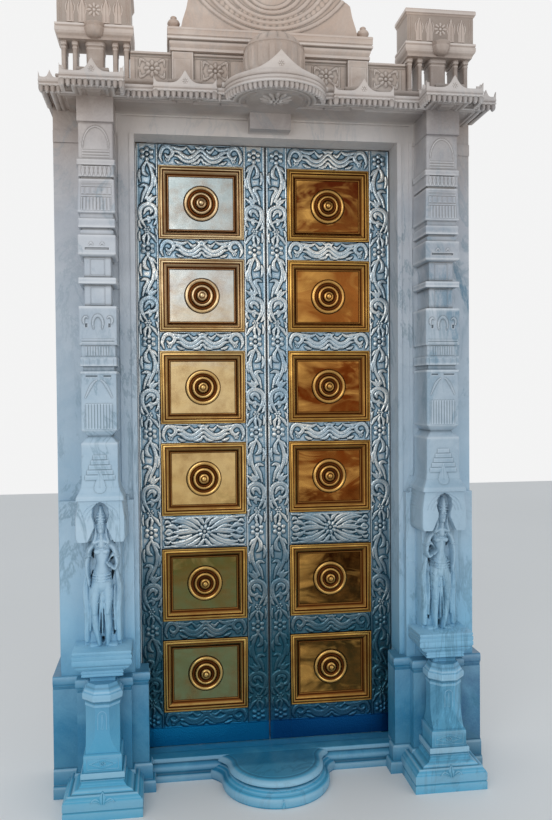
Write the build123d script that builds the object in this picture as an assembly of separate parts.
from build123d import *
from math import cos, pi, radians, sin
import os

# A pair of carved temple door leaves, embossed silver and brass over teak, hung on pivots in a
# carved marble surround. Millimetres: X to the right, Y inwards, Z up. The origin lies on the
# floor in the middle of the doorway, on the line between the two pivot axes.

# Teak frame of one leaf
STILE_WIDTH = 84
TOP_RAIL = 83
CROSS_RAIL = 76
LOCK_RAIL = 131
BOTTOM_RAIL = 134
PANEL_WIDTH = 331
PANEL_HEIGHT = 283
PANEL_COUNT = 6
UPPER_PANEL_COUNT = 4
CORE = 40                   # thickness of stiles and rails
FIELD = 16                  # thickness of the panels, their grooves and the tenons
GROOVE = 10
TENON = 30
JOINT_SLACK = 0.5           # left at the end of each tenon and tongue

# Silver sheets
SHEET = 1.5
RELIEF = 5                  # height of the embossed work above the sheet
KICK_HEIGHT = 70
SEAM = 2
SEAM_DEPTH = 0.8
BORDER = 8
BORDER_RISE = 2.5
ROSETTE_RADIUS = 27
STEM = 9
TIP = 3
VOLUTE_RADIUS = 23
VOLUTE_TURN = 290
STEM_RADIUS = 78
STEM_TURN = 58
RAIL_VOLUTE_RADIUS = 17
LEAF_LENGTH = 46
LEAF_SPREAD = 6

# Brass frames, panels and ring bosses
MOULDING = 41
FRAME_RISE = 21.5
FRAME_PROFILE = ((0, 0.92), (0.14, 1), (0.28, 0.76), (0.5, 0.7), (0.6, 0.46), (0.8, 0.4),
                 (0.84, 0.2), (1, 0.16), (1, 0))
BRASS_SHEET = 1.5
BOSS_RADIUS = 70
BOSS_RISE = 28
BOSS_SIDES = 20
BOSS_PROFILE = ((1, 0), (0.87, 0.36), (0.57, 0.2), (0.44, 0.62), (0.1, 1))

# Pivots and running gaps of the leaves
HEEL_GAP = 3
MEETING_GAP = 5
FLOOR_GAP = 3
HEAD_GAP = 3
PIN_RADIUS = 11
PIN_FIT = 0.05
PIN_END_GAP = 0.3
PIN_LENGTH = 26
SHOE = 24
SHOE_HEIGHT = 36
SOCKET = 44
SOCKET_HEIGHT = 32

# Threshold and its half-round step
THRESHOLD_HEIGHT = 92
THRESHOLD_LIP = 18
THRESHOLD_NOSING = 10
STEP_RADIUS = 205
STEP_REACH = 60             # straight part of the step, between the sill and its arc
STEP_SIDES = 24
# share of the radius and of the height, from the floor up
STEP_PROFILE = ((0.975, 0), (1, 0.15), (1, 0.33), (0.94, 0.48), (0.87, 0.61), (0.81, 0.63),
                (0.81, 0.7), (0.88, 0.72), (0.86, 0.83), (0.78, 0.91), (0.73, 1))
TORUS_HEIGHT = 40
TORUS_FOOT = 22
GROOVE_DEPTH = 12

# Jambs, plinths and lintel
REVEAL = 105                # from the teak's face out to the face of the jambs
JAMB_WIDTH = 292
JAMB_TAIL = 40              # behind the teak's back
FASCIA = 47
FASCIA_RISE = 5
FILLET_WIDTH = 12
IMPOST_HEIGHT = 43
IMPOST_RISE = 6
PLINTH_HEIGHT = 445
PLINTH_RISE = 44
PLINTH_INSIDE = 31
PLINTH_OUTSIDE = 24
PLINTH_REVEAL = 52          # how far the plinth's inner cheek turns into the reveal
DIE_RISE = 44
DIE_WIDTH = 195
FOOT_HEIGHTS = (45, 60)
FOOT_STEPS = (24, 12)
CAP_STRIP = 22
CAP_STRIP_RISE = 5
LINTEL_HEIGHT = 93
LINTEL_GROOVE = 4
KEYSTONE_WIDTH = 154
KEYSTONE_RISE = 68
KEYSTONE_DROP = 81

# Pilasters: octagonal pedestal, figure panel, shaft and capital
PILASTER_X = 632
PEDESTAL_FLATS = 118
PEDESTAL_SHAFT = 177
PEDESTAL_CAP = 62
# height, half width and reach to the front at the foot, then both at the head, from the floor up
PEDESTAL_TIERS = ((66, 138, 90, 138, 90), (22, 138, 90, 122, 84), (28, 106, 80, 78, 71),
                  (40, 76, 69, 76, 69), (66, 66, 62, 66, 62))
# height above the tiers and width of the front facet: the stops that turn square into octagon
STOPS = ((0, 112), (16, 86), (38, 62), (75, 49))
# share of the cap's height, its width and the width of its front facet
CAP_PROFILE = ((0.1, 122, 51), (0.2, 140, 60), (0.42, 140, 60), (0.85, 108, 46), (1, 100, 42))
SLAB_HEIGHT = 643
SLAB_RISE = 44
SLAB_INSET = 17
SLAB_OUTSET = 7
BACKPLATE_HALF = 70
BACKPLATE_RISE = 54
AUREOLE_HALF = 94
AUREOLE_RISE = 126
AUREOLE_DROP = 148          # below the foot of the shaft
# half width and share of the aureole's height, of the hollow round the head and shoulders
HOLLOW_PROFILE = ((46, 0), (40, 0.08), (22, 0.34), (21, 0.44), (29, 0.63), (26, 0.82), (13, 0.92))
BACKPLATE_LIP = 17
LEDGE_RISE = 144
# height, half width and set-back of the front of each tier, from the pedestal's cap up
LEDGE_TIERS = ((12, 45, 40), (30, 73, 24), (20, 82, 12), (50, 104, 0))
FIGURE_HEIGHT = 507
SHAFT_HALF = 66
SHAFT_RISE = 158
CAPITAL_HALF = 63
CAPITAL_RISE = 166
CAPITAL_HEIGHT = 108
FLARE_HEIGHT = 45
FLARE_SPREAD = 19
# height, inset at the head and inset at the foot of each member, from the top down
UPPER_SHAFT = ((128, 6, 6), (21, 0, 0), (41, 4, 4), (6, 10, 10), (120, 4, 0), (18, 8, 8),
               (34, 2, 2), (8, 12, 12))
LOWER_SHAFT = ((17, 8, 8), (67, 0, 0), (8, 0, 14), (73, 19, 19), (24, 0, 0), (77, 19, 19),
               (138, 0, 0), (42, 6, 6), (32, 2, 2), (17, 10, 10), (11, 2, 2), (198, 4, 4),
               (23, 4, 24), (23, 24, 4))
PLAIN_INSET = 2

# Cornice, with its hanging petals and crests
CORNICE_HALF = 815
CORNICE_RISE = 224          # front of the sections beside the canopy, from the face of the jambs
LINK_SET_BACK = 14
BAY_STEP = 70               # how far the bay over each pilaster stands out
BAY_HALF = 106
SECTION_INNER = 209
SECTION_OUTER = 429
CANOPY_RADIUS = 185
CANOPY_CENTRE = 177         # from the face of the jambs
CANOPY_JOINT = 190
CANOPY_SIDES = 36
DOME_SIDES = 24
SLAB_THICKNESS = 11
RIM_DROP = 11
RIM_WIDTH = 20
BED_DROP = 21
BED_INSET = 34
BED_WIDTH = 14
UPPER_COURSE = 38
UPPER_INSET = 60
PETAL_PITCH = 30
PETAL_WIDTH = 25
PETAL_DROP = 28
PETAL_THICKNESS = 14
CREST_THICKNESS = 12
CREST_RISE = 44
HORN_RISE = 22

# Frieze, pediment and the small capitals above the cornice
FRIEZE_RISE = 98
FRIEZE_DEPTH = 124
FRIEZE_HEIGHT = 122
STRIP_X = 324
STRIP_HALF = 40
STRIP_RISE = 20
BASE_HALF = 378
BASE_LOWER = 38
BASE_UPPER = 44
BASE_RISE = 30
PEDIMENT_HALF = 300
PEDIMENT_SHOULDER = 125
PEDIMENT_CROWN = 196
PEDIMENT_DEPTH = 100
KNOB_RADIUS = 24
KNOB_HEIGHT = 60
RING_RADII = (131, 225, 343)
RING_FEET = (84, 45, 6)
RING_WIDTH = 12
RING_RISE = 6
POST_HALF = 35
SIDE_POST_HALF = 12
SIDE_POST_OFFSETS = (-97, -58, 58, 97)
POST_HEIGHT = 138
BLOCK_HALF = 136
BLOCK_RISE = 148
BLOCK_DEPTH = 140
BLOCK_HEIGHT = 172
BLOCK_FOOT = 26
BLOCK_FOOT_INSET = 12
DOME_RADIUS = 108
DOME_HEIGHT = 210
DOME_PROFILE = ((1.45, 0), (1, 0.18), (0.97, 0.7), (0.7, 0.9), (0.15, 1))

# Places that follow from the sizes above
LEAF_WIDTH = 2 * STILE_WIDTH + PANEL_WIDTH
HALF_DOORWAY = HEEL_GAP + LEAF_WIDTH + MEETING_GAP / 2
HEEL_X = MEETING_GAP / 2 + LEAF_WIDTH
MEET_X = MEETING_GAP / 2
BAY_OUTER = HEEL_X - STILE_WIDTH
BAY_INNER = MEET_X + STILE_WIDTH
BAY_MID = (BAY_OUTER + BAY_INNER) / 2
PIVOT_X = HEEL_X - CORE / 2
LEAF_FOOT = THRESHOLD_HEIGHT + FLOOR_GAP
LEAF_HEIGHT = (TOP_RAIL + PANEL_COUNT * PANEL_HEIGHT + (PANEL_COUNT - 2) * CROSS_RAIL
               + LOCK_RAIL + BOTTOM_RAIL)
LEAF_TOP = LEAF_FOOT + LEAF_HEIGHT
LINTEL_FOOT = LEAF_TOP + HEAD_GAP
SOFFIT = LINTEL_FOOT + LINTEL_HEIGHT
TEAK_FACE = -CORE / 2
SILVER_FACE = TEAK_FACE - SHEET
PANEL_FACE = -FIELD / 2
BRASS_FACE = PANEL_FACE - BRASS_SHEET
WALL_FACE = TEAK_FACE - REVEAL
BACK = CORE / 2 + JAMB_TAIL
JAMB_OUTER = HALF_DOORWAY + JAMB_WIDTH
PLINTH_FACE = WALL_FACE - PLINTH_RISE
DIE_FACE = PLINTH_FACE - DIE_RISE
PLINTH_INNER = HALF_DOORWAY - PLINTH_INSIDE
PLINTH_OUTER = JAMB_OUTER + PLINTH_OUTSIDE
CHEEK_END = WALL_FACE + PLINTH_REVEAL
PEDESTAL_Y = DIE_FACE - PEDESTAL_FLATS / 2
PEDESTAL_FOOT = sum(tier[0] for tier in PEDESTAL_TIERS)
CAP_TOP = PEDESTAL_FOOT + PEDESTAL_SHAFT + PEDESTAL_CAP
LEDGE_TOP = CAP_TOP + sum(tier[0] for tier in LEDGE_TIERS)
SHAFT_FOOT = PLINTH_HEIGHT + SLAB_HEIGHT + BACKPLATE_LIP
CAPITAL_FOOT = SOFFIT - CAPITAL_HEIGHT
BED_JOINT = CAPITAL_FOOT - sum(tier[0] for tier in UPPER_SHAFT)
CORNICE_TOP = SOFFIT + SLAB_THICKNESS + UPPER_COURSE
FRIEZE_TOP = CORNICE_TOP + FRIEZE_HEIGHT
FRIEZE_FACE = WALL_FACE - FRIEZE_RISE
FRIEZE_HALF = PILASTER_X + SIDE_POST_OFFSETS[0] - 2 * SIDE_POST_HALF
BASE_TOP = FRIEZE_TOP + BASE_LOWER + BASE_UPPER


def block(xs, ys, zs):
    """A box between two corners, given as its range along each axis."""
    spans = (xs, ys, zs)
    centre = [(low + high) / 2 for low, high in spans]
    size = [high - low for low, high in spans]
    return Pos(*centre) * Box(*size)


def board(points, y_back, y_front):
    """An upright board with the outline of the (x, z) points, from y_back out to y_front."""
    face = Plane.XZ.offset(-y_back) * Polygon(*points, align=None)
    return extrude(face, amount=y_back - y_front, dir=(0, -1, 0))


def slab(points, z_low, z_high):
    """A level slab with the outline of the (x, y) points."""
    face = Plane.XY.offset(z_low) * Polygon(*points, align=None)
    return extrude(face, amount=z_high - z_low, dir=(0, 0, 1))


def faceted(rings):
    """A solid with flat facets between rings of points that match in number and order."""
    faces = [Face(Wire.make_polygon(rings[0])), Face(Wire.make_polygon(rings[-1]))]
    for low, high in zip(rings, rings[1:]):
        for index in range(len(low)):
            after = (index + 1) % len(low)
            corners = [low[index], low[after], high[after], high[index]]
            faces.append(Face(Wire.make_polygon(corners)))
    return Solid(Shell(faces))


def regular_ring(plane, radius, sides, phase=0.0):
    """Corners of a regular polygon on a plane; a phase of a half turns a flat to the front."""
    angles = [2 * pi * (index + phase) / sides for index in range(sides)]
    return [plane.from_local_coords((radius * cos(a), radius * sin(a), 0)) for a in angles]


def eight_sided(z, width, facet):
    """Corners of the pedestal at one level: a square that wide, cut back to a front facet."""
    half = width / 2
    near = facet / 2
    corners = [(near, -half), (half, -near), (half, near), (near, half),
               (-near, half), (-half, near), (-half, -near), (-near, -half)]
    return [(PILASTER_X + x, PEDESTAL_Y + y, z) for x, y in corners]


def frustum(x_mid, y_back, low, high):
    """A stone member whose sides and front lean: low and high are (z, half width, front)."""
    return faceted([[(x_mid - half, y_back, z), (x_mid + half, y_back, z),
                     (x_mid + half, front, z), (x_mid - half, front, z)]
                    for z, half, front in (low, high)])


def limb(start, end, start_radius, end_radius):
    """A six-sided tapering bar between two points."""
    axis = Vector(*end) - Vector(*start)
    return faceted([regular_ring(Plane(origin=start, z_dir=axis), start_radius, 6),
                    regular_ring(Plane(origin=end, z_dir=axis), end_radius, 6)])


def curl(x, z, radius, start, turn, thick, thin, steps):
    """Outline of a band that follows an arc about (x, z) and narrows from thick to thin."""
    outer = []
    inner = []
    for step in range(steps + 1):
        share = step / steps
        angle = radians(start + turn * share)
        half = (thick + (thin - thick) * share) / 2
        outer.append((x + (radius + half) * cos(angle), z + (radius + half) * sin(angle)))
        inner.append((x + (radius - half) * cos(angle), z + (radius - half) * sin(angle)))
    return outer + inner[::-1]


def rail_levels():
    """Foot and head of each rail of a leaf, from the top rail down."""
    heights = [CROSS_RAIL] * (PANEL_COUNT - 1)
    heights[UPPER_PANEL_COUNT - 1] = LOCK_RAIL
    levels = []
    head = LEAF_TOP
    for height in [TOP_RAIL] + heights + [BOTTOM_RAIL]:
        levels.append((head - height, head))
        head -= height + PANEL_HEIGHT
    return levels


def panel_levels():
    """Foot and head of each panel of a leaf, from the top panel down."""
    rails = rail_levels()
    return [(below[1], above[0]) for above, below in zip(rails, rails[1:])]


def tenon_height(foot, head):
    """Foot and head of a rail's tenon: the panels' tongues fill the groove beside it."""
    low = foot if foot == LEAF_FOOT else foot + GROOVE
    high = head if head == LEAF_TOP else head - GROOVE
    return low, high


def mortises(inner_edge, towards):
    """The panel groove and the rail mortises of a stile whose inner edge is at inner_edge."""
    def cut(depth, zs):
        far = inner_edge + towards * depth
        return block(sorted((inner_edge, far)), (-FIELD / 2, FIELD / 2), zs)
    cuts = [cut(GROOVE, (LEAF_FOOT, LEAF_TOP))]
    for foot, head in rail_levels():
        cuts.append(cut(TENON, tenon_height(foot, head)))
    return cuts


def hinge_stile():
    """The stile that turns on the pivots: its back edge is rounded about the pivot axis."""
    stile = block((BAY_OUTER, HEEL_X), (-CORE / 2, CORE / 2), (LEAF_FOOT, LEAF_TOP))
    heel = stile.edges().filter_by(Axis.Z).sort_by(lambda e: e.center().X + e.center().Y)[-1]
    stile = fillet(heel, CORE / 2 - PIN_FIT)
    pockets = [pivot_shoe(LEAF_FOOT), pivot_shoe(LEAF_TOP - SHOE_HEIGHT)]
    return stile - mortises(BAY_OUTER, 1) - pockets


def meeting_stile():
    stile = block((MEET_X, BAY_INNER), (-CORE / 2, CORE / 2), (LEAF_FOOT, LEAF_TOP))
    return stile - mortises(BAY_INNER, -1)


def rails():
    """Rails grooved along their edges for the panels, with tenons as high as the web between."""
    solids = []
    reach = TENON - JOINT_SLACK
    for foot, head in rail_levels():
        rail = block((BAY_INNER, BAY_OUTER), (-CORE / 2, CORE / 2), (foot, head))
        rail -= block((BAY_INNER, BAY_OUTER), (-FIELD / 2, FIELD / 2), (foot, head))
        rail += block((BAY_INNER - reach, BAY_OUTER + reach), (-FIELD / 2, FIELD / 2),
                      tenon_height(foot, head))
        solids.append(rail)
    return solids


def wood_panels():
    tongue = GROOVE - JOINT_SLACK
    xs = (BAY_INNER - tongue, BAY_OUTER + tongue)
    return [block(xs, (-FIELD / 2, FIELD / 2), (foot - tongue, head + tongue))
            for foot, head in panel_levels()]


def rosette(x, z, radius):
    """A low six-sided flower."""
    root = Plane(origin=(x, TEAK_FACE, z), z_dir=(0, -1, 0))
    crown = Plane(origin=(x, SILVER_FACE - RELIEF, z), z_dir=(0, -1, 0))
    return faceted([regular_ring(root, radius, 6), regular_ring(crown, radius / 3, 6)])


def embossed(outline):
    """Raised work in the silver, from the teak's face to the top of the relief."""
    return board(outline, TEAK_FACE, SILVER_FACE - RELIEF)


def stile_vine(x, foot, head, side):
    """One bay of the vine on a stile: two stems that meet in a volute at half height."""
    middle = (foot + head) / 2
    rise = STEM_RADIUS * sin(radians(STEM_TURN))
    volute = curl(x + side * TIP, middle, VOLUTE_RADIUS, 90, side * VOLUTE_TURN, STEM, TIP, 5)
    shapes = [embossed(volute)]
    for end, start in ((1, 0), (-1, 0)):
        start = 0 if side > 0 else 180
        centre_z = middle + end * (VOLUTE_RADIUS + rise)
        stem = curl(x - side * (STEM_RADIUS - VOLUTE_RADIUS), centre_z, STEM_RADIUS, start,
                    -end * side * STEM_TURN, TIP, STEM, 1)
        shapes.append(embossed(stem))
    return shapes


def stile_sheet(x_low, x_high, side):
    """Embossed silver over one stile: edge strips, a flower at each rail and a vine between."""
    foot = LEAF_FOOT + KICK_HEIGHT
    middle = (x_low + x_high) / 2
    sheet = block((x_low, x_high), (SILVER_FACE, TEAK_FACE), (foot, LEAF_TOP))
    shapes = []
    for edge in (x_low, x_high - BORDER):
        shapes.append(block((edge, edge + BORDER), (SILVER_FACE - BORDER_RISE, TEAK_FACE),
                            (foot, LEAF_TOP)))
    levels = [(max(low, foot) + high) / 2 for low, high in rail_levels()]
    for level in levels:
        shapes.append(rosette(middle, level, ROSETTE_RADIUS))
    for upper, lower in zip(levels, levels[1:]):
        shapes += stile_vine(middle, lower, upper, side)
    return sheet + shapes


def rail_sheets():
    """Embossed silver over the rails: two volutes that turn out from a middle leaf."""
    sheets = []
    levels = rail_levels()
    for index, (low, high) in enumerate(levels):
        foot = max(low, LEAF_FOOT + KICK_HEIGHT)
        middle = (foot + high) / 2
        sheet = block((BAY_INNER, BAY_OUTER), (SILVER_FACE, TEAK_FACE), (foot, high))
        shapes = []
        for side in (-1, 1):
            x = BAY_MID + side * (PANEL_WIDTH / 2 - ROSETTE_RADIUS - RAIL_VOLUTE_RADIUS)
            start = 180 if side > 0 else 0
            shapes.append(embossed(curl(x, middle, RAIL_VOLUTE_RADIUS, start,
                                        -side * VOLUTE_TURN, STEM, TIP, 5)))
            spread = ROSETTE_RADIUS if index == UPPER_PANEL_COUNT else LEAF_SPREAD
            near = BAY_MID + side * spread
            far = near + side * LEAF_LENGTH
            shapes.append(embossed([(near, middle), ((near + far) / 2, middle + STEM),
                                    (far, middle), ((near + far) / 2, middle - STEM)]))
        if index == UPPER_PANEL_COUNT:
            shapes.append(rosette(BAY_MID, middle, ROSETTE_RADIUS))
        sheets.append(sheet + shapes)
    return sheets


def kick_sheet():
    """Plain silver along the foot, seamed in line with the stiles."""
    sheet = block((MEET_X, HEEL_X), (SILVER_FACE, TEAK_FACE), (LEAF_FOOT, LEAF_FOOT + KICK_HEIGHT))
    seams = [block((x - SEAM / 2, x + SEAM / 2), (SILVER_FACE, SILVER_FACE + SEAM_DEPTH),
                   (LEAF_FOOT, LEAF_FOOT + KICK_HEIGHT)) for x in (BAY_INNER, BAY_OUTER)]
    return sheet - seams


def brass_frame(foot, head):
    """A mitred moulding round one panel: beaded edge, then three steps down to the panel."""
    section = [(0, 0)] + [(MOULDING * out, FRAME_RISE * up) for out, up in FRAME_PROFILE]
    sides = []
    corners = [(BAY_INNER, foot), (BAY_OUTER, foot), (BAY_OUTER, head), (BAY_INNER, head)]
    middle = (BAY_MID, (foot + head) / 2)
    for index, (x, z) in enumerate(corners):
        next_x, next_z = corners[(index + 1) % 4]
        along = Vector(next_x - x, 0, next_z - z)
        inwards = Vector(0, -1, 0).cross(along).normalized()
        face = Plane(origin=(x, PANEL_FACE, z), x_dir=inwards, z_dir=along) * Polygon(
            *section, align=None)
        side = extrude(face, amount=along.length, dir=along.normalized())
        reach = MOULDING
        mitre = [(x, z), (next_x, next_z)]
        for corner in ((next_x, next_z), (x, z)):
            sign_x = 1 if corner[0] < middle[0] else -1
            sign_z = 1 if corner[1] < middle[1] else -1
            mitre.append((corner[0] + sign_x * reach, corner[1] + sign_z * reach))
        sides.append(side & board(mitre, PANEL_FACE + SHEET, PANEL_FACE - 2 * FRAME_RISE))
    return sides[0] + sides[1:]


def brass_panel(foot, head):
    xs = (BAY_INNER + MOULDING, BAY_OUTER - MOULDING)
    return block(xs, (BRASS_FACE, PANEL_FACE), (foot + MOULDING, head - MOULDING))


def boss(foot, head):
    """A boss of concentric rings that rise to a knob."""
    rings = []
    for out, up in BOSS_PROFILE:
        centre = (BAY_MID, BRASS_FACE - BOSS_RISE * up, (foot + head) / 2)
        plane = Plane(origin=centre, z_dir=(0, -1, 0))
        rings.append(regular_ring(plane, BOSS_RADIUS * out, BOSS_SIDES))
    return faceted(rings)


def pivot_shoe(foot):
    return block((PIVOT_X - SHOE / 2, PIVOT_X + SHOE / 2), (-SHOE / 2, SHOE / 2),
                 (foot, foot + SHOE_HEIGHT))


def pin(z_low, z_high, radius):
    return Pos(PIVOT_X, 0, (z_low + z_high) / 2) * Cylinder(radius, z_high - z_low)


def lower_pivot():
    return pivot_shoe(LEAF_FOOT) + pin(LEAF_FOOT - PIN_LENGTH, LEAF_FOOT + SHOE / 2, PIN_RADIUS)


def upper_pivot():
    shoe = pivot_shoe(LEAF_TOP - SHOE_HEIGHT)
    return shoe + pin(LEAF_TOP - SHOE / 2, LEAF_TOP + PIN_LENGTH, PIN_RADIUS)


def socket_block(z_low):
    return block((PIVOT_X - SOCKET / 2, PIVOT_X + SOCKET / 2), (-SOCKET / 2, SOCKET / 2),
                 (z_low, z_low + SOCKET_HEIGHT))


def lower_socket():
    """A bronze cup let into the threshold, with the pin's end just clear of its floor."""
    bore_foot = LEAF_FOOT - PIN_LENGTH - PIN_END_GAP
    return (socket_block(THRESHOLD_HEIGHT - SOCKET_HEIGHT)
            - pin(bore_foot, THRESHOLD_HEIGHT + PIN_FIT, PIN_RADIUS + PIN_FIT))


def upper_socket():
    bore_head = LEAF_TOP + PIN_LENGTH + PIN_END_GAP
    return socket_block(LINTEL_FOOT) - pin(LINTEL_FOOT - PIN_FIT, bore_head, PIN_RADIUS + PIN_FIT)


def mirrored(shape):
    return mirror(shape, about=Plane.YZ)


def step_ring(radius, z):
    """Outline of the half-round step at one level: an arc whose ends run back into the sill."""
    root = WALL_FACE + 2 * GROOVE_DEPTH
    angles = [pi + pi * index / STEP_SIDES for index in range(STEP_SIDES + 1)]
    arc = [(radius * cos(a), WALL_FACE - STEP_REACH + radius * sin(a), z) for a in angles]
    return arc + [(radius, root, z), (-radius, root, z)]


def nosing_section():
    """Half section of the threshold's edge, as (out, z) from the face of the jambs."""
    groove_foot = TORUS_FOOT + TORUS_HEIGHT
    return [(-GROOVE_DEPTH * 2, 0), (4, 0), (4, TORUS_FOOT), (12, TORUS_FOOT + 0.3 * TORUS_HEIGHT),
            (12, TORUS_FOOT + 0.7 * TORUS_HEIGHT), (4, groove_foot), (-GROOVE_DEPTH, groove_foot),
            (-GROOVE_DEPTH, THRESHOLD_HEIGHT - THRESHOLD_LIP),
            (THRESHOLD_NOSING, THRESHOLD_HEIGHT - THRESHOLD_LIP),
            (THRESHOLD_NOSING, THRESHOLD_HEIGHT), (-GROOVE_DEPTH * 2, THRESHOLD_HEIGHT)]


def threshold():
    """The sill, its moulded edge and the half-round step with its sunk rim."""
    core_face = WALL_FACE + 2 * GROOVE_DEPTH
    sill = block((-PLINTH_INNER, PLINTH_INNER), (core_face, CHEEK_END), (0, THRESHOLD_HEIGHT))
    sill += block((-HALF_DOORWAY, HALF_DOORWAY), (CHEEK_END, BACK), (0, THRESHOLD_HEIGHT))
    across = Plane(origin=(-PLINTH_INNER, WALL_FACE, 0), x_dir=(0, -1, 0), z_dir=(-1, 0, 0))
    edge = across * Polygon(*nosing_section(), align=None)
    sill += extrude(edge, amount=2 * PLINTH_INNER, dir=(1, 0, 0))
    sill += faceted([step_ring(radius * STEP_RADIUS, height * THRESHOLD_HEIGHT)
                     for radius, height in STEP_PROFILE])
    pocket = socket_block(THRESHOLD_HEIGHT - SOCKET_HEIGHT)
    return sill - [pocket, mirrored(pocket), *foot_tiers(), *[mirrored(t) for t in foot_tiers()]]


def foot_tiers():
    """The two moulded courses that run round the foot of the plinth and its die."""
    tiers = []
    z = 0
    for height, step in zip(FOOT_HEIGHTS, FOOT_STEPS):
        tiers.append(slab(plinth_plan(step), z, z + height))
        z += height
    return tiers


def plinth_plan(step):
    """Outline of the right plinth, grown by step to the front and into the doorway."""
    die_low = PILASTER_X - DIE_WIDTH / 2 - step
    die_high = PILASTER_X + DIE_WIDTH / 2 + step
    inner = PLINTH_INNER - step
    return [(HALF_DOORWAY, BACK), (HALF_DOORWAY, CHEEK_END), (PLINTH_INNER, CHEEK_END),
            (PLINTH_INNER, WALL_FACE), (inner, WALL_FACE), (inner, PLINTH_FACE - step),
            (die_low, PLINTH_FACE - step),
            (die_low, DIE_FACE - step), (die_high, DIE_FACE - step),
            (die_high, PLINTH_FACE - step), (PLINTH_OUTER, PLINTH_FACE - step),
            (PLINTH_OUTER, BACK)]


def plinth():
    body = slab(plinth_plan(0), 0, PLINTH_HEIGHT)
    body += foot_tiers()
    lip = PLINTH_HEIGHT - CAP_STRIP
    return body + block((PLINTH_INNER, PLINTH_OUTER), (PLINTH_FACE - CAP_STRIP_RISE, PLINTH_FACE),
                        (lip, PLINTH_HEIGHT))


def jamb():
    """The upright stone beside a leaf: raised fascia, a fillet and an impost band."""
    stone = block((HALF_DOORWAY, JAMB_OUTER), (WALL_FACE, BACK), (PLINTH_HEIGHT, LINTEL_FOOT))
    fascia_edge = HALF_DOORWAY + SLAB_INSET
    stone += block((HALF_DOORWAY, fascia_edge), (WALL_FACE - FASCIA_RISE, WALL_FACE),
                   (PLINTH_HEIGHT, LINTEL_FOOT))
    fillet_edge = HALF_DOORWAY + FASCIA
    stone += block((fillet_edge, fillet_edge + FILLET_WIDTH), (WALL_FACE - FASCIA_RISE, WALL_FACE),
                   (SHAFT_FOOT + FLARE_HEIGHT, LINTEL_FOOT))
    stone += block((PILASTER_X + SHAFT_HALF + IMPOST_RISE, JAMB_OUTER),
                   (WALL_FACE - IMPOST_RISE, WALL_FACE), (LINTEL_FOOT - IMPOST_HEIGHT, LINTEL_FOOT))
    return stone


def lintel():
    stone = block((-JAMB_OUTER, JAMB_OUTER), (WALL_FACE, BACK), (LINTEL_FOOT, SOFFIT))
    groove_z = LINTEL_FOOT + LINTEL_HEIGHT * 2 / 3
    stone -= block((-FASCIA - HALF_DOORWAY, FASCIA + HALF_DOORWAY),
                   (WALL_FACE, WALL_FACE + LINTEL_GROOVE), (groove_z, groove_z + LINTEL_GROOVE))
    pocket = socket_block(LINTEL_FOOT)
    return stone - [pocket, mirrored(pocket)]


def keystone():
    """The plain block in the middle of the lintel, under the canopy."""
    half = KEYSTONE_WIDTH / 2
    return block((-half, half), (WALL_FACE - KEYSTONE_RISE, WALL_FACE),
                 (SOFFIT - KEYSTONE_DROP, SOFFIT))


def pedestal():
    """Moulded square foot, and a shaft that turns from square to octagon under its cap."""
    neck = PEDESTAL_FOOT + PEDESTAL_SHAFT
    rings = [eight_sided(PEDESTAL_FOOT + rise, PEDESTAL_FLATS, facet) for rise, facet in STOPS]
    rings.append(eight_sided(neck, PEDESTAL_FLATS, STOPS[-1][1]))
    for share, width, facet in CAP_PROFILE:
        rings.append(eight_sided(neck + share * PEDESTAL_CAP, width, facet))
    stone = faceted(rings)
    z = 0
    for height, half, reach, head_half, head_reach in PEDESTAL_TIERS:
        stone += frustum(PILASTER_X, PLINTH_FACE, (z, half, PEDESTAL_Y - reach),
                         (z + height, head_half, PEDESTAL_Y - head_reach))
        z += height
    return stone - plinth()


def figure():
    """A standing attendant in high relief, both arms lowered, with a scarf over each wrist."""
    x = PILASTER_X
    y = WALL_FACE - SLAB_RISE - BACKPLATE_RISE
    z = LEDGE_TOP
    unit = FIGURE_HEIGHT / 8

    def at(across, up, out=0.0):
        return (x + across * unit, y - out * unit, z + up * unit)

    bars = [(at(-0.5, 0.0, 0.1), at(-0.35, 2.0, 0.25), 0.2, 0.32),
            (at(-0.35, 2.0, 0.25), at(-0.3, 3.9, 0.1), 0.32, 0.45),
            (at(0.45, 0.0, 0.1), at(0.55, 2.0, 0.35), 0.2, 0.32),
            (at(0.55, 2.0, 0.35), at(0.35, 3.9, 0.1), 0.32, 0.45),
            (at(0.05, 3.7, 0.1), at(0.0, 4.7, 0.1), 0.75, 0.48),
            (at(0.0, 4.7, 0.1), at(0.0, 6.2, 0.2), 0.48, 0.72),
            (at(0.0, 6.2, 0.15), at(0.0, 6.9, 0.15), 0.4, 0.25),
            (at(0.0, 6.8, 0.15), at(0.0, 7.7, 0.15), 0.42, 0.4)]
    for side in (-1, 1):
        bars.append((at(0.62 * side, 5.9, 0.1), at(0.9 * side, 4.6, 0.1), 0.22, 0.2))
        bars.append((at(0.9 * side, 4.6, 0.1), at(0.85 * side, 3.5, 0.4), 0.2, 0.15))
        bars.append((at(0.85 * side, 3.5, 0.2), at(0.8 * side, 0.9, 0.1), 0.2, 0.12))
    return [limb(start, end, first * unit, last * unit) for start, end, first, last in bars]


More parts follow.
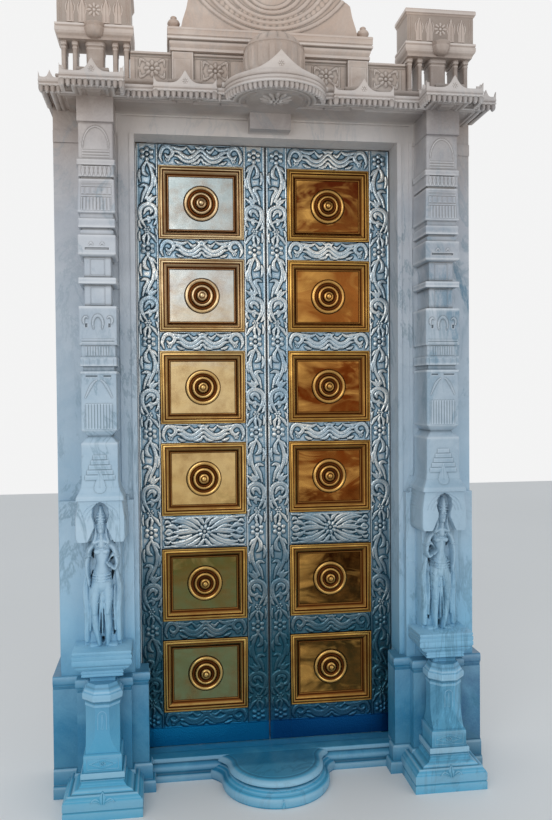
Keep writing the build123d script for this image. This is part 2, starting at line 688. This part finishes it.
def figure_panel():
    """Slab against the jamb, the corbelled ledge, and the figure under its hollowed aureole."""
    face = WALL_FACE - SLAB_RISE
    stone = block((HALF_DOORWAY + SLAB_INSET, JAMB_OUTER - SLAB_OUTSET), (face, WALL_FACE),
                  (PLINTH_HEIGHT, PLINTH_HEIGHT + SLAB_HEIGHT))
    plate_face = face - BACKPLATE_RISE
    aureole_foot = SHAFT_FOOT - AUREOLE_DROP
    aureole = block((PILASTER_X - AUREOLE_HALF, PILASTER_X + AUREOLE_HALF),
                    (face - AUREOLE_RISE, face), (aureole_foot, SHAFT_FOOT))
    rim = [(half, aureole_foot + share * AUREOLE_DROP) for half, share in HOLLOW_PROFILE]
    around = [(PILASTER_X + half, z) for half, z in rim]
    around += [(PILASTER_X - half, z) for half, z in rim[::-1]]
    aureole -= board(around, plate_face, face - 2 * AUREOLE_RISE)
    parts = [aureole, block((PILASTER_X - BACKPLATE_HALF, PILASTER_X + BACKPLATE_HALF),
                            (plate_face, face), (LEDGE_TOP, aureole_foot))]
    z = CAP_TOP
    for height, half, set_back in LEDGE_TIERS:
        parts.append(block((PILASTER_X - half, PILASTER_X + half),
                           (face - LEDGE_RISE + set_back, face), (z, z + height)))
        z += height
    back = block((0, 2 * PILASTER_X), (WALL_FACE, 0), (0, SHAFT_FOOT))
    return (stone + parts + figure()) - back


def shaft_member(z, height, foot_inset, head_inset):
    def ring(level, inset):
        return (level, SHAFT_HALF - inset, WALL_FACE - SHAFT_RISE + inset)
    return frustum(PILASTER_X, WALL_FACE, ring(z, foot_inset), ring(z + height, head_inset))


def stacked(members, head):
    """Members listed from the top down, piled against the jamb below the level head."""
    solids = []
    for height, head_inset, foot_inset in members:
        solids.append(shaft_member(head - height, height, foot_inset, head_inset))
        head -= height
    return solids, head


def upper_shaft():
    solids, _ = stacked(UPPER_SHAFT, CAPITAL_FOOT)
    return solids[0] + solids[1:]


def lower_shaft():
    """The carved members, a plain length that makes up the height, and the spreading foot."""
    solids, foot = stacked(LOWER_SHAFT, BED_JOINT)
    flare_head = SHAFT_FOOT + FLARE_HEIGHT
    solids.append(shaft_member(flare_head, foot - flare_head, PLAIN_INSET, PLAIN_INSET))
    solids.append(shaft_member(SHAFT_FOOT, FLARE_HEIGHT, -FLARE_SPREAD, PLAIN_INSET))
    return solids[0] + solids[1:]


def capital():
    return block((PILASTER_X - CAPITAL_HALF, PILASTER_X + CAPITAL_HALF),
                 (WALL_FACE - CAPITAL_RISE, WALL_FACE), (CAPITAL_FOOT, SOFFIT))


def cornice_runs(inset):
    """Corners of the stepped front of the right cornice, from the canopy to its outer end."""
    link = WALL_FACE - CORNICE_RISE + LINK_SET_BACK + inset
    face = WALL_FACE - CORNICE_RISE + inset
    bay = face - BAY_STEP
    section = (SECTION_INNER + inset, SECTION_OUTER - inset)
    bay_span = (PILASTER_X - BAY_HALF + inset, PILASTER_X + BAY_HALF - inset)
    end = CORNICE_HALF - inset
    return [(CANOPY_JOINT, link), (section[0], link), (section[0], face), (section[1], face),
            (section[1], link), (bay_span[0], link), (bay_span[0], bay), (bay_span[1], bay),
            (bay_span[1], face), (end, face)]


def cornice_course(inset, z_low, z_high, back):
    runs = cornice_runs(inset)
    return slab(runs + [(runs[-1][0], back), (runs[0][0], back)], z_low, z_high)


def petals(start, end):
    """Pointed petals hanging along a straight run of the rim, seen from the front or the side."""
    run = Vector(end[0] - start[0], end[1] - start[1], 0)
    count = max(1, int(run.length // PETAL_PITCH))
    along = run.normalized()
    solids = []
    head = SOFFIT - RIM_DROP
    half = PETAL_WIDTH / 2
    tip = PETAL_DROP / 3
    for index in range(count):
        place = Vector(start[0], start[1], 0) + along * (run.length * (index + 0.5) / count)
        plane = Plane(origin=(place.X, place.Y, head), x_dir=along, z_dir=along.cross(Vector(0, 0, 1)))
        outline = Polygon((-half, RIM_DROP / 2), (-half, tip - PETAL_DROP), (0, -PETAL_DROP),
                          (half, tip - PETAL_DROP), (half, RIM_DROP / 2), align=None)
        solids.append(extrude(plane * outline, amount=-PETAL_THICKNESS))
    return solids


def crest(x_low, x_high, front):
    """Upstanding edge of one section: horned ends and hollow sides that sweep to a peak."""
    middle = (x_low + x_high) / 2
    half = (x_high - x_low) / 2
    foot = SOFFIT
    rim = foot + SLAB_THICKNESS
    left = [(-half, foot), (-half, rim + HORN_RISE), (-0.9 * half, rim + 4), (-0.4 * half, rim + 6),
            (-0.16 * half, rim + 0.5 * CREST_RISE), (-0.08 * half, rim + CREST_RISE)]
    outline = left + [(-x, z) for x, z in left[::-1]]
    return board([(middle + x, z) for x, z in outline], front + CREST_THICKNESS, front)


def cornice():
    """Right half of the cornice: slab, rim with petals, bed moulding, upper course and crests."""
    stone = cornice_course(0, SOFFIT, SOFFIT + SLAB_THICKNESS, BACK)
    stone += cornice_course(UPPER_INSET, SOFFIT, CORNICE_TOP, BACK)
    lip = cornice_course(0, SOFFIT - RIM_DROP, SOFFIT, WALL_FACE - CORNICE_RISE / 2)
    stone += lip - cornice_course(RIM_WIDTH, SOFFIT - RIM_DROP, SOFFIT, BACK)
    bed = cornice_course(BED_INSET, SOFFIT - BED_DROP, SOFFIT, WALL_FACE - CORNICE_RISE / 2)
    stone += bed - cornice_course(BED_INSET + BED_WIDTH, SOFFIT - BED_DROP, SOFFIT, BACK)
    stone -= capital()
    runs = cornice_runs(0)
    hanging = []
    for start, end in zip(runs, runs[1:]):
        if abs(end[0] - start[0]) > PETAL_PITCH or abs(end[1] - start[1]) > 2 * PETAL_PITCH:
            hanging += petals(start, end)
    face = WALL_FACE - CORNICE_RISE
    crests = [crest(SECTION_INNER, SECTION_OUTER, face),
              crest(PILASTER_X - BAY_HALF, PILASTER_X + BAY_HALF, face - BAY_STEP)]
    return stone + hanging + crests


def hood_outline(inset):
    return RegularPolygon(CANOPY_RADIUS - inset, CANOPY_SIDES)


def canopy_plan():
    centre_y = WALL_FACE - CANOPY_CENTRE
    link = WALL_FACE - CORNICE_RISE + LINK_SET_BACK
    tail = Rectangle(2 * CANOPY_JOINT, BACK - link)
    return (Pos(0, (BACK + link) / 2) * tail) + (Pos(0, centre_y) * hood_outline(0))


def canopy():
    """The half-round hood over the middle: ringed soffit, petal fringe, crest and bell."""
    centre_y = WALL_FACE - CANOPY_CENTRE
    stone = Pos(0, 0, SOFFIT) * extrude(canopy_plan(), amount=SLAB_THICKNESS)
    tail = block((-CANOPY_JOINT, CANOPY_JOINT), (WALL_FACE - FRIEZE_RISE, BACK), (SOFFIT, CORNICE_TOP))
    hub = Pos(0, centre_y, 0)
    lip = hood_outline(0) - hood_outline(RIM_WIDTH)
    ring = hood_outline(BED_INSET) - hood_outline(BED_INSET + BED_WIDTH)
    outside = block((-CANOPY_RADIUS, CANOPY_RADIUS), (centre_y - CANOPY_RADIUS, cornice_runs(0)[0][1]),
                    (SOFFIT - BED_DROP, SOFFIT))
    stone += hub * Pos(0, 0, SOFFIT - RIM_DROP) * extrude(lip, amount=RIM_DROP) & outside
    stone += hub * Pos(0, 0, SOFFIT - BED_DROP) * extrude(ring, amount=BED_DROP) & outside
    levels = []
    for out, up in DOME_PROFILE:
        plane = Plane(origin=(0, centre_y, SOFFIT + SLAB_THICKNESS + DOME_HEIGHT * up))
        levels.append(regular_ring(plane, DOME_RADIUS * out, DOME_SIDES))
    dome = faceted(levels)
    front = block((-CANOPY_RADIUS, CANOPY_RADIUS), (centre_y - CANOPY_RADIUS, FRIEZE_FACE),
                  (SOFFIT, SOFFIT + SLAB_THICKNESS + DOME_HEIGHT))
    hanging = []
    count = int(pi * CANOPY_RADIUS / PETAL_PITCH)
    first = 180 + PETAL_PITCH / 2
    for index in range(count):
        angle = radians(first + (360 - 2 * (first - 180) - 180) * index / (count - 1))
        place = (CANOPY_RADIUS * cos(angle), centre_y + CANOPY_RADIUS * sin(angle))
        tangent = Vector(-sin(angle), cos(angle), 0) * PETAL_PITCH / 2
        hanging += petals((place[0] - tangent.X, place[1] - tangent.Y),
                          (place[0] + tangent.X, place[1] + tangent.Y))
    peak = crest(-CANOPY_RADIUS / 2, CANOPY_RADIUS / 2, centre_y - CANOPY_RADIUS + CREST_THICKNESS)
    return (stone + [tail, (dome & front) - pediment_base(), peak]) + hanging


def frieze():
    """The wall strip above the cornice, with two upright strips under the pediment's ends."""
    stone = block((-FRIEZE_HALF, FRIEZE_HALF), (FRIEZE_FACE, FRIEZE_FACE + FRIEZE_DEPTH),
                  (CORNICE_TOP, FRIEZE_TOP))
    for x in (-STRIP_X, STRIP_X):
        stone += block((x - STRIP_HALF, x + STRIP_HALF), (FRIEZE_FACE - STRIP_RISE, FRIEZE_FACE),
                       (CORNICE_TOP, FRIEZE_TOP))
    return stone


def pediment_base():
    lower = FRIEZE_TOP + BASE_LOWER
    back = FRIEZE_FACE + FRIEZE_DEPTH
    stone = block((-BASE_HALF + BASE_RISE / 3, BASE_HALF - BASE_RISE / 3),
                  (FRIEZE_FACE - BASE_RISE * 2 / 3, back), (FRIEZE_TOP, lower))
    return stone + block((-BASE_HALF, BASE_HALF), (FRIEZE_FACE - BASE_RISE, back), (lower, BASE_TOP))


def pediment():
    """A low arched plate with rings sunk below its crown, between two small knobs."""
    front = FRIEZE_FACE + RING_RISE
    back = front + PEDIMENT_DEPTH
    shoulder = BASE_TOP + PEDIMENT_SHOULDER
    half = PEDIMENT_HALF
    left = [(-half - 30, BASE_TOP), (-half - 22, BASE_TOP + 40), (-half - 8, shoulder - 40),
            (-half, shoulder), (-0.72 * half, BASE_TOP + 0.84 * PEDIMENT_CROWN),
            (-0.36 * half, BASE_TOP + 0.96 * PEDIMENT_CROWN)]
    outline = left + [(0, BASE_TOP + PEDIMENT_CROWN)] + [(-x, z) for x, z in left[::-1]]
    plate = board(outline, back, front)
    rings = []
    for radius, foot in zip(RING_RADII, RING_FEET):
        turn = 75 * RING_RADII[0] / radius + 20
        band = curl(0, BASE_TOP + foot + radius, radius, 270 - turn, 2 * turn, RING_WIDTH,
                    RING_WIDTH, 7)
        rings.append(board(band, front, front - RING_RISE))
    plate += [ring & board(outline, back, front - RING_RISE) for ring in rings]
    for side in (-1, 1):
        x = side * (BASE_HALF - KNOB_RADIUS)
        plate += board([(x - KNOB_RADIUS, BASE_TOP), (x - KNOB_RADIUS * 0.7, BASE_TOP + KNOB_HEIGHT),
                        (x + KNOB_RADIUS * 0.7, BASE_TOP + KNOB_HEIGHT),
                        (x + KNOB_RADIUS, BASE_TOP)], back, front)
    return plate


def upper_posts():
    """A stout post and four slim ones, standing free of each other under the small capital."""
    ys = (FRIEZE_FACE - STRIP_RISE, FRIEZE_FACE + SHAFT_HALF)
    zs = (CORNICE_TOP, CORNICE_TOP + POST_HEIGHT)
    solids = [block((PILASTER_X - POST_HALF, PILASTER_X + POST_HALF), ys, zs)]
    for offset in SIDE_POST_OFFSETS:
        x = PILASTER_X + offset + (1 if offset > 0 else -1) * SIDE_POST_HALF
        solids.append(block((x - SIDE_POST_HALF, x + SIDE_POST_HALF), ys, zs))
    return solids


def upper_capital():
    foot = CORNICE_TOP + POST_HEIGHT
    front = WALL_FACE - BLOCK_RISE
    back = front + BLOCK_DEPTH
    inner = BLOCK_HALF - BLOCK_FOOT_INSET
    stone = frustum(PILASTER_X, back, (foot, inner, front + BLOCK_FOOT_INSET),
                    (foot + BLOCK_FOOT, BLOCK_HALF, front))
    stone += block((PILASTER_X - BLOCK_HALF, PILASTER_X + BLOCK_HALF), (front, back),
                   (foot + BLOCK_FOOT, foot + 2 * BLOCK_FOOT))
    inset = BLOCK_FOOT_INSET / 2
    stone += block((PILASTER_X - BLOCK_HALF + inset, PILASTER_X + BLOCK_HALF - inset),
                   (front + inset, back), (foot + 2 * BLOCK_FOOT, foot + BLOCK_HEIGHT - BLOCK_FOOT / 2))
    return stone + block((PILASTER_X - BLOCK_HALF, PILASTER_X + BLOCK_HALF), (front, back),
                         (foot + BLOCK_HEIGHT - BLOCK_FOOT / 2, foot + BLOCK_HEIGHT))


def leaf_nodes():
    """Every piece of the right leaf, by name."""
    spans = panel_levels()
    return {
        "hinge_stile": [hinge_stile()],
        "meeting_stile": [meeting_stile()],
        "rails": rails(),
        "wood_panels": wood_panels(),
        "hinge_stile_silver": [stile_sheet(BAY_OUTER, HEEL_X, 1)],
        "meeting_stile_silver": [stile_sheet(MEET_X, BAY_INNER, -1)],
        "rail_silver": rail_sheets(),
        "kick_plate": [kick_sheet()],
        "brass_frames": [brass_frame(*span) for span in spans],
        "brass_panels": [brass_panel(*span) for span in spans],
        "ring_bosses": [boss(*span) for span in spans],
        "lower_pivot": [lower_pivot()],
        "upper_pivot": [upper_pivot()],
    }


def side_nodes():
    """Every piece of the surround that comes as a pair, for the right side."""
    return {
        "plinth": [plinth()],
        "jamb": [jamb()],
        "pedestal": [pedestal()],
        "figure_panel": [figure_panel()],
        "lower_shaft": [lower_shaft()],
        "upper_shaft": [upper_shaft()],
        "capital": [capital()],
        "cornice": [cornice()],
        "upper_posts": upper_posts(),
        "upper_capital": [upper_capital()],
        "lower_socket": [lower_socket()],
        "upper_socket": [upper_socket()],
    }


def middle_nodes():
    return {
        "threshold": [threshold()],
        "lintel": [lintel()],
        "keystone": [keystone()],
        "canopy": [canopy()],
        "frieze": [frieze()],
        "pediment_base": [pediment_base()],
        "pediment": [pediment()],
    }


def save(name, solids):
    shape = solids[0] if len(solids) == 1 else Compound(children=solids)
    export_step(shape, f"parts/{name}.step")


def main():
    os.makedirs("parts", exist_ok=True)
    for name, solids in middle_nodes().items():
        save(name, solids)
    for group in (leaf_nodes(), side_nodes()):
        for name, solids in group.items():
            save(f"right_{name}", solids)
            save(f"left_{name}", [mirrored(solid) for solid in solids])


main()
